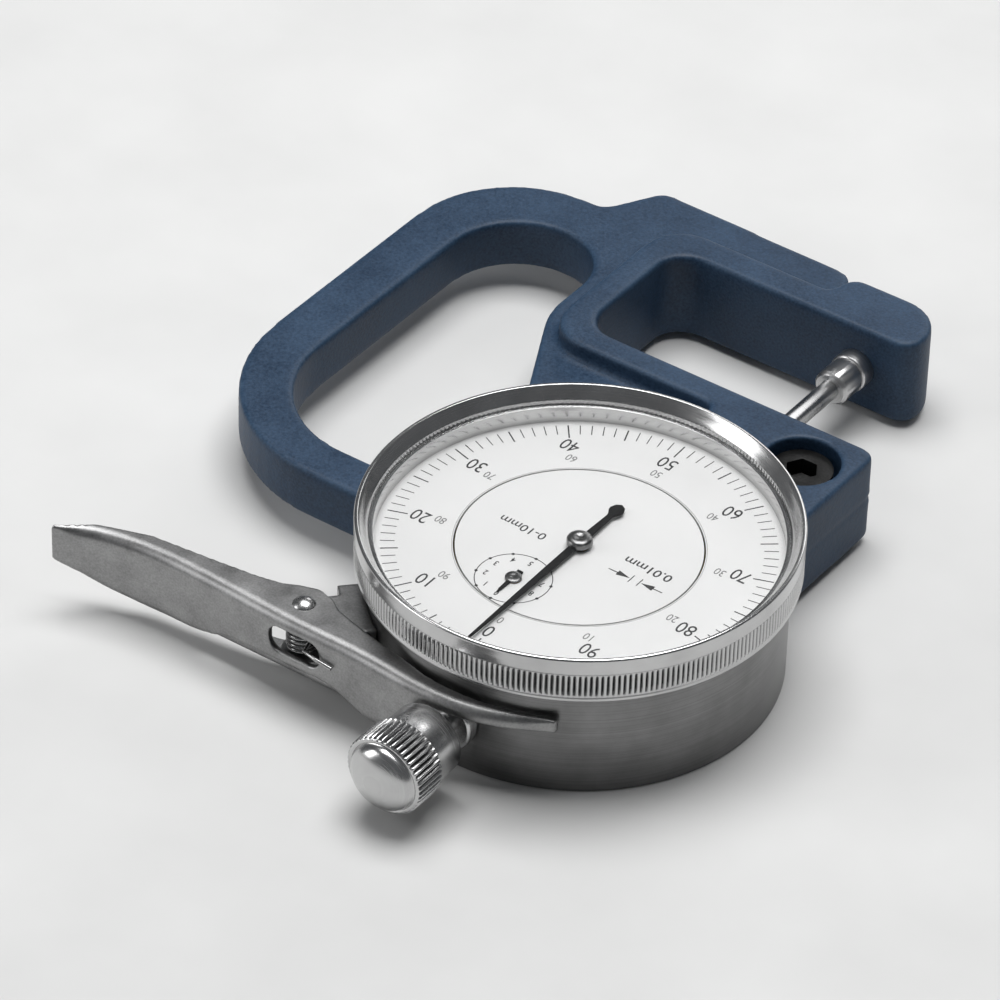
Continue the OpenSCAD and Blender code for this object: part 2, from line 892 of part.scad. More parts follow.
// The cut that leaves the lever's web and thumb end narrower, in X and Z
module lever_trim(edge, low_y) {
    translate([0, 36, 0])
        rotate([90, 0, 0])
            linear_extrude(36 - low_y)
                polygon(concat(spline(edge, 5), [[edge[len(edge) - 1][0], 1], [edge[0][0], 1]]));
}

module lever() {
    line = spline(lever_line, 6);
    inner = [for (k = [len(line) - 1:-1:0]) line[k] - [0, lever_t]];
    cheeks = cheek_outline();
    color("silver")
    difference() {
        union() {
            slab(cheeks, lever_low, lever_low + lever_t);
            slab(cheeks, lever_high - lever_t, lever_high);
            intersection() {
                slab(concat(line, inner), lever_low, lever_high);
                slab(cheeks, lever_low, lever_high);
            }
        }
        translate([pivot_x, pivot_y, 0])
            cylinder(r = pin_r, h = 20);
        translate([-16, 20, axis_z - fork_gap / 2])
            cube([20, 14, fork_gap]);
        translate([-16, 20, lever_low - 1])
            cube([19, 14, lever_w / 2]);
        translate([19.2, 28, axis_z - 0.5])
            cube([8.1, 4, 3.9]);
        lever_trim(lever_waist, 27.6);
        lever_trim(lever_tip, 20);
    }
}

module lever_pin() {
    color("silver")
    translate([pivot_x, pivot_y, 0]) {
        translate([0, 0, lever_low])
            cylinder(r = pin_r, h = lever_w);
        for (end = [0, 1])
            translate([0, 0, end == 0 ? lever_low : lever_high])
                rotate([180 * (1 - end), 0, 0])
                    intersection() {
                        translate([0, 0, -1.4])
                            sphere(r = 2.1);
                        cylinder(r = 3, h = 1);
                    }
    }
}

module lever_spring() {
    turns = 5;
    low = axis_z - 1.7;
    pitch = 3.4 / turns;
    pivot = [pivot_x, pivot_y, 0];
    coil = [for (k = [0:turns * 14])
        let (a = 200 + k * 360 / 14)
        pivot + [2.1 * cos(a), 2.1 * sin(a), low + pitch * k / 14]];
    foot = [pivot + [-2.6, -4.4, low]];
    arm = [[21.4, 30.1, axis_z + 1.8], [19.2, 30.5, axis_z + 1.7], [16.8, 30.45, axis_z + 1.4]];
    color("gray")
    wire(concat(foot, coil, arm), 0.28);
}

c_frame();
anvil();
clamp_screw();
loop_screw();
case();
stem();
upper_bush();
back_cover();
back_cover_screws();
bezel();
bezel_spring_ring();
crystal();
reflector_ring();
dial_scale_ring();
dial_centre_plate();
dial_foot_nuts();
spindle();
contact_point();
lifting_cap();
guide_pin();
spring_pin();
guide_rail();
rear_plate();
rear_plate_screws();
pillars();
front_plate();
front_plate_screws();
jewels();
pinion_cock();
cock_screws();
rack_pinion();
drive_gear();
centre_pinion();
pointer();
take_up_gear();
counter_hand();
hairspring();
hairspring_stud();
return_spring();
spring_post();
lever_bracket();
bracket_screws();
lever();
lever_pin();
lever_spring();
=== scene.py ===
import math

import bmesh
import bpy
import numpy as np
from mathutils import Matrix, Quaternion, Vector


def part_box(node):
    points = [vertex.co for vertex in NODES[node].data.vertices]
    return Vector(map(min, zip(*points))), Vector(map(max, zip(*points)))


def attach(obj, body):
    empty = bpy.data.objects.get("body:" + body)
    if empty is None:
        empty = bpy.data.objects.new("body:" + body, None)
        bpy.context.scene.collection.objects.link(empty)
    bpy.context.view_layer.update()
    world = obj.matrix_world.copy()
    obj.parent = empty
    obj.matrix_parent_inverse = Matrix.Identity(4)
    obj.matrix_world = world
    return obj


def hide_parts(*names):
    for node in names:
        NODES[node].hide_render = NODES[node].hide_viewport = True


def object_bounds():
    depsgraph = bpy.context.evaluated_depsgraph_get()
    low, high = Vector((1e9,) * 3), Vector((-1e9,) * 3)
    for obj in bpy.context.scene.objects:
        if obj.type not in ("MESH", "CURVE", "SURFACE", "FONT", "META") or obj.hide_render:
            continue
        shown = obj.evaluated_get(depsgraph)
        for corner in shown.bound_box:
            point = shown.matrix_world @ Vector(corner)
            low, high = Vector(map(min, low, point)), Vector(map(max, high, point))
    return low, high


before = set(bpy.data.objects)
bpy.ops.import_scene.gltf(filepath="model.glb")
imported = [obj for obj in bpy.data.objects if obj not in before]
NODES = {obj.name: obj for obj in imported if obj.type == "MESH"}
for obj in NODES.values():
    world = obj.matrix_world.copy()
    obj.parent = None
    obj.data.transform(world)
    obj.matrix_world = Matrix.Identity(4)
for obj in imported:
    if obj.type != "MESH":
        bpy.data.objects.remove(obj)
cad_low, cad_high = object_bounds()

# Lengths written without a unit are in mm, and MM turns them into metres
MM = 0.001
# The height of the spindle's axis over the back plane
AXIS_HEIGHT = 7.5
SPINDLE_Z = AXIS_HEIGHT * MM
AXIS_Y, AXIS_Z = 1, 2
ON_SPINDLE = (0, 0, SPINDLE_Z)
# The counter dial's centre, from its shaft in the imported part
low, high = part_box("take_up_gear")
COUNTER = ((low + high) / 2).to_2d()


# ---- materials ----
def shader(name):
    """A new material with one Principled shader."""
    made = bpy.data.materials.new(name)
    made.use_nodes = True
    tree = made.node_tree
    tree.nodes.clear()
    out = tree.nodes.new("ShaderNodeOutputMaterial")
    bsdf = tree.nodes.new("ShaderNodeBsdfPrincipled")
    tree.links.new(bsdf.outputs[0], out.inputs[0])
    return made, tree, bsdf


def math_node(tree, operation, a, b=None):
    node = tree.nodes.new("ShaderNodeMath")
    node.operation = operation
    for i, value in enumerate((a, b)):
        if value is None:
            continue
        if isinstance(value, (int, float)):
            node.inputs[i].default_value = value
        else:
            tree.links.new(value, node.inputs[i])
    return node.outputs[0]


def coordinates(tree, axis=None, centre=(0, 0, 0), stretch=(1, 1, 1)):
    """The point in the part's frame. With an axis, the distance from it and the place along it, for lathe marks."""
    point = tree.nodes.new("ShaderNodeTexCoord").outputs["Object"]
    if axis is not None:
        shift = tree.nodes.new("ShaderNodeVectorMath")
        shift.operation = "SUBTRACT"
        shift.inputs[1].default_value = centre
        tree.links.new(point, shift.inputs[0])
        split = tree.nodes.new("ShaderNodeSeparateXYZ")
        tree.links.new(shift.outputs[0], split.inputs[0])
        parts = list(split.outputs)
        along = parts.pop(axis)
        squares = [math_node(tree, "MULTIPLY", p, p) for p in parts]
        radius = math_node(tree, "SQRT", math_node(tree, "ADD", squares[0], squares[1]))
        join = tree.nodes.new("ShaderNodeCombineXYZ")
        tree.links.new(radius, join.inputs[0])
        tree.links.new(along, join.inputs[1])
        point = join.outputs[0]
    mapping = tree.nodes.new("ShaderNodeMapping")
    mapping.inputs["Scale"].default_value = stretch
    tree.links.new(point, mapping.inputs["Vector"])
    return mapping.outputs[0]


def noise(tree, vector, scale, detail=3.0, roughness=0.55):
    node = tree.nodes.new("ShaderNodeTexNoise")
    node.inputs["Scale"].default_value = scale
    node.inputs["Detail"].default_value = detail
    node.inputs["Roughness"].default_value = roughness
    tree.links.new(vector, node.inputs["Vector"])
    return node.outputs["Fac"]


def ramp(tree, value, stops):
    """Colours over a value: stops are (position, colour)."""
    node = tree.nodes.new("ShaderNodeValToRGB")
    elements = node.color_ramp.elements
    for i, (at, colour) in enumerate(stops):
        element = elements[i] if i < 2 else elements.new(at)
        element.position = at
        element.color = (*colour, 1)
    tree.links.new(value, node.inputs[0])
    return node.outputs["Color"]


def spread(tree, value, low, high):
    """A value from low to high over the middle of a noise's range."""
    node = tree.nodes.new("ShaderNodeMapRange")
    node.inputs["From Min"].default_value = 0.3
    node.inputs["From Max"].default_value = 0.7
    node.inputs["To Min"].default_value = low
    node.inputs["To Max"].default_value = high
    tree.links.new(value, node.inputs["Value"])
    return node.outputs[0]


def bump(tree, height, distance, after=None):
    node = tree.nodes.new("ShaderNodeBump")
    node.inputs["Distance"].default_value = distance
    node.inputs["Strength"].default_value = 1.0
    tree.links.new(height, node.inputs["Height"])
    if after is not None:
        tree.links.new(after, node.inputs["Normal"])
    return node.outputs["Normal"]


def mixed_over(tree, colour, amount, over):
    """The colour, with another laid over it by an amount from 0 to 1."""
    blend = tree.nodes.new("ShaderNodeMix")
    blend.data_type = "RGBA"
    blend.inputs[7].default_value = (*over, 1)
    tree.links.new(amount, blend.inputs[0])
    tree.links.new(colour, blend.inputs[6])
    return blend.outputs[2]


def groove_amount(tree, place, grooves):
    """How much painted shade a knurl gets: from 0 on its ridges to 1 in its grooves, and 0 outside the knurl."""
    bottom, top, start, end = (value * MM for value in grooves)
    split = tree.nodes.new("ShaderNodeSeparateXYZ")
    tree.links.new(place, split.inputs[0])
    deep = tree.nodes.new("ShaderNodeMapRange")
    for socket, value in zip(("From Min", "From Max", "To Min", "To Max"), (bottom, top, 1.0, 0.0)):
        deep.inputs[socket].default_value = value
    tree.links.new(split.outputs[0], deep.inputs["Value"])
    above = math_node(tree, "GREATER_THAN", split.outputs[1], start)
    under = math_node(tree, "LESS_THAN", split.outputs[1], end)
    return math_node(tree, "MULTIPLY", deep.outputs[0], math_node(tree, "MULTIPLY", above, under))


def metal(name, dark, light, rough, axis=None, centre=(0, 0, 0), stretch=(1, 1, 1),
          grain=3000, depth=2e-6, coarse=160, grooves=None):
    """A metal with fine grain or lathe marks, and a slow change of tone and gloss over the surface.

    grooves is (radius at the bottom, radius at the top, start, end along the axis) of a knurl, in mm; its grooves get
    painted shade, darkened nearly to black.
    """
    made, tree, bsdf = shader(name)
    place = coordinates(tree)
    marks = coordinates(tree, axis, centre, stretch)
    slow = noise(tree, place, coarse, 4.0)
    fine = noise(tree, marks, grain, 2.0, 0.6)
    slow, fine_part = math_node(tree, "MULTIPLY", slow, 0.55), math_node(tree, "MULTIPLY", fine, 0.45)
    mixed = math_node(tree, "ADD", slow, fine_part)
    colour = ramp(tree, mixed, [(0.35, dark), (0.65, light)])
    # Painted shade: a knurl's grooves are darkened nearly to black
    if grooves is not None:
        amount = groove_amount(tree, coordinates(tree, axis, centre), grooves)
        colour = mixed_over(tree, colour, amount, (0.03, 0.03, 0.032))
    tree.links.new(colour, bsdf.inputs["Base Color"])
    tree.links.new(spread(tree, mixed, *rough), bsdf.inputs["Roughness"])
    tree.links.new(bump(tree, fine, depth), bsdf.inputs["Normal"])
    bsdf.inputs["Metallic"].default_value = 1.0
    return made


def paint(name, dark, light, rough, peel, depth, grain=5200, edge_highlight=None, shine=0.5):
    """A sprayed coat with orange peel and fine grain, and, if given, a lighter colour painted on the sharper edges as
    a highlight.
    """
    made, tree, bsdf = shader(name)
    place = coordinates(tree)
    slow = noise(tree, place, 130, 4.0)
    orange = noise(tree, place, peel, 3.0)
    fine = noise(tree, place, grain, 2.0)
    mixed = math_node(tree, "ADD", math_node(tree, "MULTIPLY", slow, 0.4), math_node(tree, "MULTIPLY", fine, 0.6))
    colour = ramp(tree, mixed, [(0.33, dark), (0.67, light)])
    # Painted highlight: a lighter colour laid over the sharper edges, found by pointiness
    if edge_highlight is not None:
        point = tree.nodes.new("ShaderNodeNewGeometry").outputs["Pointiness"]
        edge = tree.nodes.new("ShaderNodeMapRange")
        edge.inputs["From Min"].default_value = 0.52
        edge.inputs["From Max"].default_value = 0.6
        edge.inputs["To Max"].default_value = 0.4
        tree.links.new(math_node(tree, "ADD", point, math_node(tree, "MULTIPLY", slow, 0.03)), edge.inputs["Value"])
        colour = mixed_over(tree, colour, edge.outputs[0], edge_highlight)
    tree.links.new(colour, bsdf.inputs["Base Color"])
    tree.links.new(spread(tree, mixed, *rough), bsdf.inputs["Roughness"])
    first = bump(tree, orange, depth)
    tree.links.new(bump(tree, fine, depth * 0.35, after=first), bsdf.inputs["Normal"])
    bsdf.inputs["Specular IOR Level"].default_value = shine
    return made


def clear_plastic(name):
    made, tree, bsdf = shader(name)
    haze = ramp(tree, noise(tree, coordinates(tree), 90), [(0.3, (0.05, 0.055, 0.055)), (0.7, (0.09, 0.09, 0.09))])
    tree.links.new(haze, bsdf.inputs["Base Color"])
    bsdf.inputs["Roughness"].default_value = 0.03
    bsdf.inputs["IOR"].default_value = 1.49
    bsdf.inputs["Alpha"].default_value = 0.06
    bsdf.inputs["Specular IOR Level"].default_value = 1.0
    return made


def jewel(name):
    made, tree, bsdf = shader(name)
    depth = noise(tree, coordinates(tree), 2500)
    tree.links.new(ramp(tree, depth, [(0.3, (0.42, 0.01, 0.04)), (0.7, (0.7, 0.03, 0.1))]), bsdf.inputs["Base Color"])
    bsdf.inputs["Roughness"].default_value = 0.08
    bsdf.inputs["Coat Weight"].default_value = 0.5
    return made


def grey(value):
    return (value, value, value)


# Where the knurls of the bezel and the cap get painted shade in their grooves: radius in the grooves and on the
# ridges, start and end
BEZEL_GROOVES = (28.62, 28.86, 16.6, 19.8)
CAP_GROOVES = (5.3, 5.6, 37.35, 41.9)
MAT = {
    # The frame's lighter edge colour is a painted highlight on its sharper edges
    "frame_paint": paint("frame_paint", (0.007, 0.022, 0.049), (0.029, 0.06, 0.11), (0.42, 0.58),
                         peel=1300, depth=5e-5, grain=2700, edge_highlight=(0.055, 0.1, 0.16), shine=0.3),
    "bezel_chrome": metal("bezel_chrome", grey(0.5), grey(0.66), (0.16, 0.27), AXIS_Z, grain=9000, depth=1.2e-6),
    "bezel_knurled": metal("bezel_knurled", grey(0.48), grey(0.62), (0.16, 0.26), AXIS_Z,
                           grain=9000, depth=1.2e-6, grooves=BEZEL_GROOVES),
    "cap_chrome": metal("cap_chrome", grey(0.5), grey(0.64), (0.2, 0.3), AXIS_Y, ON_SPINDLE,
                        grain=9000, depth=1.5e-6, grooves=CAP_GROOVES),
    "satin_chrome": metal("satin_chrome", grey(0.16), grey(0.26), (0.3, 0.42), AXIS_Z, grain=7000, depth=1.5e-6),
    "ground_steel": metal("ground_steel", grey(0.44), grey(0.62), (0.25, 0.37), AXIS_Y, ON_SPINDLE,
                          grain=8000, depth=1.2e-6),
    "steel": metal("steel", grey(0.34), grey(0.5), (0.22, 0.34), grain=5000),
    "black_steel": metal("black_steel", grey(0.018), grey(0.04), (0.34, 0.5), grain=4000, depth=4e-6),
    "zinc": metal("zinc", grey(0.22), grey(0.36), (0.33, 0.45), grain=3400, depth=5e-6, coarse=260),
    "spring_steel": metal("spring_steel", grey(0.32), grey(0.46), (0.2, 0.3), grain=6000),
    "brass": metal("brass", (0.56, 0.38, 0.13), (0.72, 0.52, 0.2), (0.26, 0.38), stretch=(1, 9, 1), grain=900),
    "ruby": jewel("ruby"),
    "dial_white": paint("dial_white", (0.78, 0.78, 0.775), (0.83, 0.83, 0.825), (0.42, 0.5), peel=2500, depth=1.2e-6),
    "hand_black": paint("hand_black", (0.004, 0.004, 0.0045), (0.01, 0.01, 0.011), (0.34, 0.44),
                        peel=2500, depth=1.5e-6, shine=0.2),
    "hub_grey": metal("hub_grey", grey(0.14), grey(0.24), (0.24, 0.36), AXIS_Z, grain=9000, depth=1e-6),
    "dial_ink": paint("dial_ink", (0.02, 0.02, 0.021), (0.04, 0.04, 0.042), (0.5, 0.6), peel=4000, depth=1e-6),
    "dial_line": paint("dial_line", (0.16, 0.16, 0.16), (0.22, 0.22, 0.22), (0.5, 0.6), peel=4000, depth=1e-6),
    "dial_faint": paint("dial_faint", (0.36, 0.36, 0.36), (0.42, 0.42, 0.42), (0.5, 0.6), peel=4000, depth=1e-6),
    "crystal": clear_plastic("crystal"),
}


# ---- mesh helpers ----
def linked(name, data):
    """A new object in the scene."""
    made = bpy.data.objects.new(name, data)
    bpy.context.scene.collection.objects.link(made)
    return made


def evaluated(piece):
    """The mesh of an object with its modifiers applied."""
    bpy.context.view_layer.update()
    return bpy.data.meshes.new_from_object(piece.evaluated_get(bpy.context.evaluated_depsgraph_get()))


def add_object(name, mesh, material, body, replaces=()):
    """A finished piece with its material, riding on a body."""
    made = linked(name, mesh)
    mesh.materials.clear()
    mesh.materials.append(MAT[material])
    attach(made, body)
    if replaces:
        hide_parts(*replaces)
    return made


def smooth(mesh, angle=32):
    mesh.shade_smooth()
    mesh.set_sharp_from_angle(angle=math.radians(angle))


def mesh_from(name, points, faces, angle=32):
    mesh = bpy.data.meshes.new(name)
    mesh.from_pydata([tuple(p) for p in points], [], faces)
    work = bmesh.new()
    work.from_mesh(mesh)
    bmesh.ops.recalc_face_normals(work, faces=work.faces)
    work.to_mesh(mesh)
    work.free()
    smooth(mesh, angle)
    return mesh


def lathe(name, profile, sides, along=AXIS_Z, cut=None, angle=32):
    """Turns (radius, height) points in mm about the dial axis or the spindle axis.

    cut(radius, height, turn) gives the radius with a knurl in it. A profile that starts and ends on the axis
    is closed there by a point.
    """
    turns = np.linspace(0, 2 * math.pi, sides, endpoint=False)
    points, rows = [], []
    for radius, height in profile:
        if radius == 0:
            rows.append([len(points)])
            points.append((0, 0, height))
            continue
        rows.append(list(range(len(points), len(points) + sides)))
        for t in turns:
            r = radius if cut is None else cut(radius, height, t)
            points.append((r * math.cos(t), r * math.sin(t), height))
    on_axis = len(rows[0]) == 1
    faces = []
    for i in range(len(rows) - (1 if on_axis else 0)):
        a, b = rows[i], rows[(i + 1) % len(rows)]
        for k in range(sides):
            n = (k + 1) % sides
            if len(a) == 1:
                faces.append((a[0], b[k], b[n]))
            elif len(b) == 1:
                faces.append((a[k], b[0], a[n]))
            else:
                faces.append((a[k], b[k], b[n], a[n]))
    if along == AXIS_Y:
        points = [(x, h, AXIS_HEIGHT - y) for x, y, h in points]
    return mesh_from(name, np.array(points) * MM, faces, angle)


def arc_points(cx, cz, r, a0, a1, n):
    """Points of an arc in a profile, from angle a0 to a1 in degrees."""
    angles = [math.radians(a0 + (a1 - a0) * k / n) for k in range(n + 1)]
    return [(cx + r * math.cos(a), cz + r * math.sin(a)) for a in angles]


def plate(outline, z0, z1):
    """Points and faces of a flat outline with thickness, in mm."""
    n = len(outline)
    points = [(x, y, z0) for x, y in outline] + [(x, y, z1) for x, y in outline]
    faces = [tuple(range(n - 1, -1, -1)), tuple(range(n, 2 * n))]
    faces += [(i, (i + 1) % n, n + (i + 1) % n, n + i) for i in range(n)]
    return points, faces


def joined(parts):
    """Several (points, faces) as one."""
    points, faces = [], []
    for p, f in parts:
        faces += [tuple(i + len(points) for i in face) for face in f]
        points += list(p)
    return points, faces


def softened(node, name, voxel, rounds, body, material, hold=None, source=None):
    """A copy of a CAD node, or of a solid cut with others, with its edges rounded as on a casting or a pressing.

    hold(points) from 0 to 1 says how much of the rounding each point keeps.
    """
    if source is None:
        mesh = NODES[node].data.copy()
    else:
        solid, cuts = source
        for cut in cuts:
            boolean = solid.modifiers.new("cut", "BOOLEAN")
            boolean.operation = "DIFFERENCE"
            boolean.solver = "EXACT"
            boolean.object = cut
        mesh = evaluated(solid)
        for used in (solid, *cuts):
            bpy.data.objects.remove(used)
    made = add_object(name, mesh, material, body, [node])
    weld = made.modifiers.new("weld", "WELD")
    weld.merge_threshold = 1e-6
    remesh = made.modifiers.new("remesh", "REMESH")
    remesh.mode = "VOXEL"
    remesh.voxel_size = voxel * MM
    made_mesh = evaluated(made)
    made.modifiers.clear()
    made.data = made_mesh
    group = None
    if hold is not None:
        group = made.vertex_groups.new(name="round")
        places = np.empty(len(made_mesh.vertices) * 3)
        made_mesh.vertices.foreach_get("co", places)
        weights = hold(places.reshape(-1, 3) / MM)
        for level in np.unique(np.round(weights, 1)):
            chosen = np.nonzero(np.abs(weights - level) < 0.051)[0]
            if level > 0 and len(chosen):
                group.add([int(i) for i in chosen], float(level), "REPLACE")
    soft = made.modifiers.new("soften", "SMOOTH")
    soft.factor = 0.5
    soft.iterations = rounds
    if group is not None:
        soft.vertex_group = "round"
    final = evaluated(made)
    made.modifiers.clear()
    made.vertex_groups.clear()
    made.data = final
    final.materials.clear()
    final.materials.append(MAT[material])
    final.shade_smooth()
    return made


# ---- frame casting ----
CLAMP_SCREW = (-10.3, -36.6)
STEM_END = -47
SEAT_RADIUS = 27.4


def frame_hold(points):
    """Full rounding, apart from the bored holes, the case's seat and the clamp's slit, which keep their edges."""
    x, y, z = points.T
    near_clamp = np.clip((np.hypot(x - CLAMP_SCREW[0], y - CLAMP_SCREW[1]) - 5.8) / 1.5, 0.1, 1)
    near_stem = np.where(y > STEM_END, np.clip((np.hypot(x, z - AXIS_HEIGHT) - 4.2) / 1.6, 0.1, 1), 1)
    near_seat = np.clip((np.abs(np.hypot(x, y) - SEAT_RADIUS) - 0.3) / 1.2, 0.25, 1)
    slit = np.where((x < -3) & (x > -18) & (y > -45) & (np.abs(z - AXIS_HEIGHT) < 1.2), 0.1, 1)
    return np.minimum.reduce([near_clamp, near_stem, near_seat, slit])


softened("c_frame", "frame_casting", 0.35, 22, "frame", "frame_paint", frame_hold)

# ---- lever pressing ----
# The web's outer line and the cheeks' inner line, in X and Y
LEVER_LINE = [
    (-14.4, 25.3), (-8, 28.7), (-2, 30.4), (5, 30.7), (14, 30.1), (25, 30),
    (36, 29.4), (46, 29.2), (54, 30.3), (60.8, 32.9),
]
LEVER_FOOT = [
    (-14.4, 25.0), (-11.9, 25.5), (-8, 26.95), (-4, 27.8), (0, 28.1), (4, 27.8), (8.7, 26.7),
    (12.4, 26), (16.6, 25), (20.6, 23.9), (22.2, 22.75), (24.8, 21.95), (27.4, 22.75), (29.4, 23.8),
    (33, 24.6), (40, 25.4), (49, 26.3), (56, 28.7), (60.3, 32.2),
]
# The lower edge of the thumb end and of the narrow middle, in X and Z
TIP_START = 46.5
LEVER_TIP = [(TIP_START, 2.4), (50, 2.65), (54, 3.4), (57.5, 5.0), (60.6, 7.2), (61, 7.5)]
WAIST_START = 10.5
LEVER_WAIST = [
    (WAIST_START, 2.3), (13, 3.7), (16.5, 5.1), (20, 5.7), (26, 5.5), (31, 5.2),
    (34.5, 4.8), (37, 3.9), (40, 3.15), (43, 2.6), (TIP_START, 2.3),
]
L_LOW, L_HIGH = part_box("lever")


def through(points, at, steps=14):
    """The height at a place along a smooth line through the points."""
    xs, ys = [], []
    for i in range(len(points) - 1):
        a, b, c, d = (np.array(points[min(max(j, 0), len(points) - 1)], float) for j in (i - 1, i, i + 1, i + 2))
        for k in range(steps):
            t = k / steps
            p = 0.5 * (2 * b + (c - a) * t + (2 * a - 5 * b + 4 * c - d) * t * t + (3 * b - a - 3 * c + d) * t**3)
            xs.append(p[0])
            ys.append(p[1])
    xs.append(points[-1][0])
    ys.append(points[-1][1])
    return np.interp(at, xs, ys)


def bend_points(bend, radius, top, low):
    """A quarter circle in Y and Z at the bend between a cheek and the web."""
    angles = np.linspace(0, math.pi / 2, 7)
    return [(top - bend + radius * math.sin(a), low + bend - radius * math.cos(a)) for a in angles]


def channel_solid(bend, sheet):
    """The lever as one bent sheet: a channel whose web follows the upper line, with cheeks down to the lower one."""
    stations = np.concatenate([np.linspace(-14.3, 58, 120), np.linspace(58.4, 60.6, 8)])
    z1 = L_HIGH.z / MM
    points, faces = [], []
    for x in stations:
        z0 = L_LOW.z / MM if x < TIP_START else float(through(LEVER_TIP, x))
        top, foot = float(through(LEVER_LINE, x)), float(np.interp(x, *zip(*LEVER_FOOT)))
        end = min(1.0, max(0.35, (60.9 - x) / 2.0)) ** 0.5
        b = min(bend, max(0.5, top - foot - 0.1)) * end
        outer = bend_points(b, b, top, z0)
        inner = bend_points(b, b - sheet, top, z0) if b > sheet + 0.1 else [(top - sheet, z0 + sheet)] * 7
        low = [(min(foot, outer[0][0] - 0.02), z0)] + outer
        high = [(y, z0 + z1 - z) for y, z in low[::-1]]
        low_in = [(min(foot, inner[0][0] - 0.02), z0 + sheet)] + inner
        high_in = [(y, z0 + z1 - z) for y, z in low_in[::-1]]
        ring = low + high + (low_in + high_in)[::-1]
        points += [(x, y, z) for y, z in ring]
    n = len(ring)
    for i in range(len(stations) - 1):
        for k in range(n):
            m = (k + 1) % n
            faces.append((i * n + k, i * n + m, (i + 1) * n + m, (i + 1) * n + k))
    half = n // 2
    for base, turn in ((0, 1), ((len(stations) - 1) * n, -1)):
        for k in range(half - 1):
            quad = (base + k, base + k + 1, base + n - 2 - k, base + n - 1 - k)
            faces.append(quad[::turn])
    return mesh_from("channel", np.array(points) * MM, faces)


def cutter(outline, low, high):
    """A solid to cut with: an outline in X and Z, run along Y, in mm."""
    points, faces = plate(outline, low, high)
    return linked("cutter", mesh_from("cutter", np.array([(x, z, y) for x, y, z in points]) * MM, faces))


def slot_outline(x0, x1, z0, z1, r, n=6):
    """A rectangle with round corners."""
    out = []
    for cx, cz, a in ((x1 - r, z1 - r, 0), (x0 + r, z1 - r, 90), (x0 + r, z0 + r, 180), (x1 - r, z0 + r, 270)):
        out += arc_points(cx, cz, r, a, a + 90, n)
    return out


FORK_GAP = 6.2
lever = linked("lever_work", channel_solid(bend=1.6, sheet=1.0))
window = cutter(slot_outline(19.2, 27.3, 7.0, 10.9, 1.6), 28, 33)
fork = cutter(slot_outline(-22, 4, AXIS_HEIGHT - FORK_GAP / 2, AXIS_HEIGHT + FORK_GAP / 2, 2.4), 15, 40)
below = cutter(slot_outline(-22, 3, 0, AXIS_HEIGHT, 1.5), 15, 40)
edge = [(x, float(through(LEVER_WAIST, x))) for x in np.linspace(WAIST_START, TIP_START, 40)]
waist = cutter([(WAIST_START, 1), (TIP_START, 1)] + edge[::-1], 27.6, 36)
cuts = [window, fork, below, waist]
softened("lever", "lever_channel", 0.18, 11, "thumb_lever", "zinc", source=(lever, cuts))
softened("lever_bracket", "lever_block", 0.22, 6, "frame", "zinc")


# ---- bezel ----
KNURL_LOW, KNURL_HIGH = 16.5, 19.9
BEZEL_RIDGES, BEZEL_RIDGE_DEPTH = 256, 0.34
CAP_RIDGES, CAP_RIDGE_DEPTH = 44, 0.42
# Nearer to the axis than this, a knurled profile stays smooth
KNURL_CORE = 5


def knurl(count, low, high, depth, fade=0.25):
    """A straight knurl between two heights: rounded ridges with narrow grooves, run out at both ends."""

    def cut(radius, height, turn):
        inside = min(height - low, high - height)
        if inside < -1e-9 or radius < KNURL_CORE:
            return radius
        share = min(1.0, max(0.0, inside / fade))
        wave = 0.5 - 0.5 * math.cos(turn * count)
        return radius - depth * share * (1 - wave**0.7)

    return cut


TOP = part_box("bezel")[1].z / MM
BEZEL_R = 28.95
bezel_profile = (
    [(26.56, 15.6), (28.5, 15.6)]
    + arc_points(28.5, 16.05, 0.45, -90, 0, 5)
    + [(BEZEL_R, 16.3), (28.85, 16.42), (28.85, KNURL_LOW)]
    + [(BEZEL_R, z) for z in (KNURL_LOW + 0.25, 17.5, 18.2, 18.9, KNURL_HIGH - 0.25)]
    + [(28.85, KNURL_HIGH), (28.85, 19.98), (28.97, 20.1), (29.0, 20.25)]
    + [(29.0, 21.2), (28.99, TOP - 0.5)]
    + arc_points(28.67, TOP - 0.33, 0.33, 0, 90, 5)
    + arc_points(28.57, TOP - 0.2, 0.2, 90, 130, 3)
    + [(28.1, TOP - 0.65), (27.6, TOP - 1.22), (27.28, TOP - 1.6), (27.2, TOP - 1.75)]
    + [(27.2, 17.3), (26.56, 17.3)]
)
bezel_knurl = knurl(BEZEL_RIDGES, KNURL_LOW, KNURL_HIGH, BEZEL_RIDGE_DEPTH)
bezel = lathe("bezel_ring", bezel_profile, BEZEL_RIDGES * 8, cut=bezel_knurl, angle=50)
add_object("bezel_ring", bezel, "bezel_knurled", "bezel", ["bezel"])

# ---- crystal, slightly crowned ----
c_low, c_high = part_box("crystal")
glass_top, glass_low = c_high.z / MM, c_low.z / MM
crystal_profile = (
    [(0, glass_top)]
    + [(27.1 * k / 12, glass_top - 0.35 * (k / 12) ** 2) for k in range(1, 12)]
    + [(26.9, glass_top - 0.36), (27.18, glass_top - 0.6), (27.18, glass_low)]
    + [(26.2, glass_low + 0.05), (0, glass_low + 0.05)]
)
add_object("crystal_dome", lathe("crystal_dome", crystal_profile, 160), "crystal", "bezel", ["crystal"])

